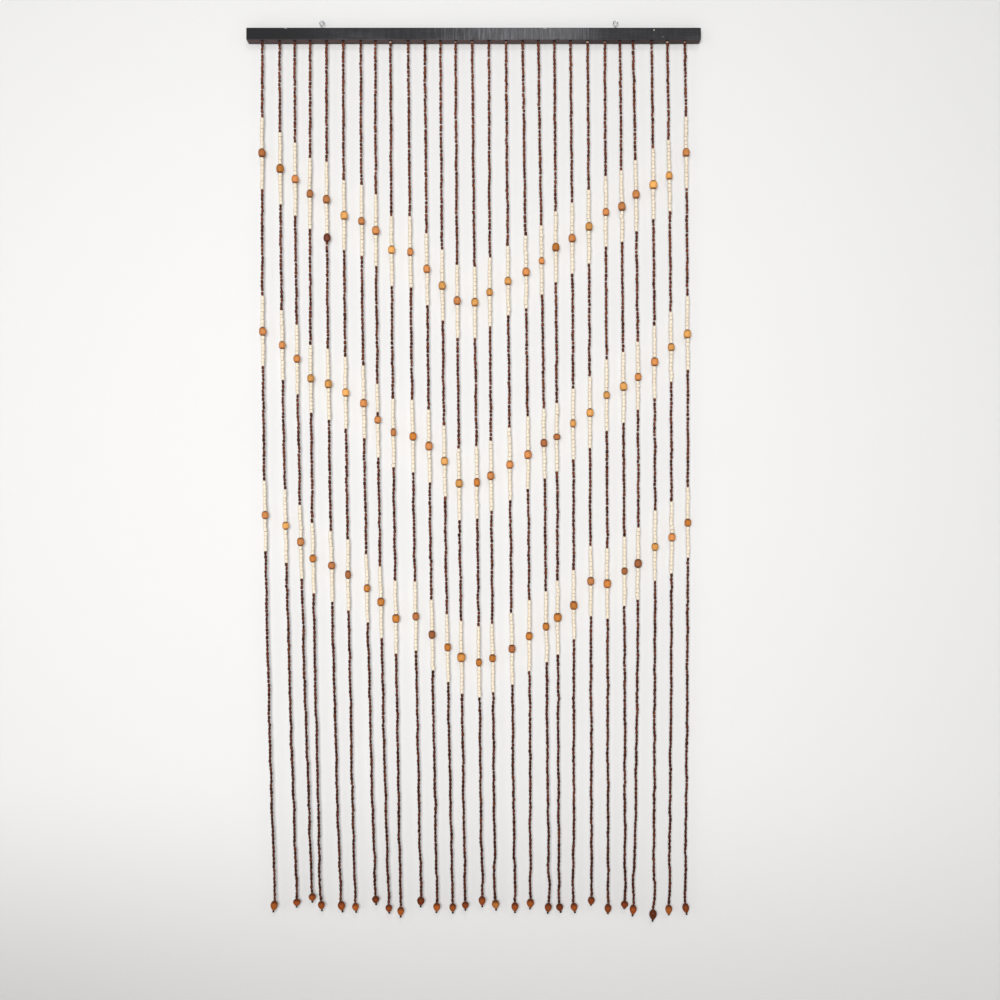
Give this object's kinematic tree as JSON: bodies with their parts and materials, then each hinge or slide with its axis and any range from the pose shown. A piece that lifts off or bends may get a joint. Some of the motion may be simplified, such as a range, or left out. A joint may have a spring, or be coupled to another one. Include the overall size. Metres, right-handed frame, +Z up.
{
  "type": "bead curtain with its wooden rail",
  "caption": "Doorway curtain of brown wooden beads threaded on hanging cords, with cream runs around large drum beads, under a plain square black rail with screw eyes.",
  "frame": {"origin": "the middle of the rail's length, level with the middles of the two eyes' rings, on the rail's middle plane, where the curtain is hung", "axes": "+X along the rail, to the right as the picture shows it; +Y towards the wall behind; +Z up"},
  "size_m": [0.9, 0.0277, 1.7902],
  "materials": {
    "black_paint": "thin near-black paint over straight-grained softwood, satin, with planer marks and a few pale nicks",
    "zinc_wire": "zinc-plated wire",
    "brown_beads": "stained dark brown, satin, unevenly taken up",
    "cream_beads": "pale, bleached and waxed, satin",
    "drum_beads": "orange-brown varnish over a fine grain, glossy, dark towards the holes",
    "cord": "pale nylon thread, knotted under the rail and mostly stained brown there, with its lower end knotted and melted black below the drop bead"
  },
  "bodies": {
    "root": {"rail": "black_paint", "screw_eye_left": "zinc_wire", "screw_eye_right": "zinc_wire", "strand_01": "brown_beads", "strand_02": "brown_beads", "strand_03": "brown_beads", "strand_04": "brown_beads", "strand_05": "brown_beads", "strand_06": "brown_beads", "strand_07": "brown_beads", "strand_08": "brown_beads", "strand_09": "brown_beads", "strand_10": "brown_beads", "strand_11": "brown_beads", "strand_12": "brown_beads", "strand_13": "brown_beads", "strand_14": "brown_beads", "strand_15": "brown_beads", "strand_16": "brown_beads", "strand_17": "brown_beads", "strand_18": "brown_beads", "strand_19": "brown_beads", "strand_20": "brown_beads", "strand_21": "brown_beads", "strand_22": "brown_beads", "strand_23": "brown_beads", "strand_24": "brown_beads", "strand_25": "brown_beads", "strand_26": "brown_beads", "strand_27": "brown_beads"}
  },
  "joints": []
}
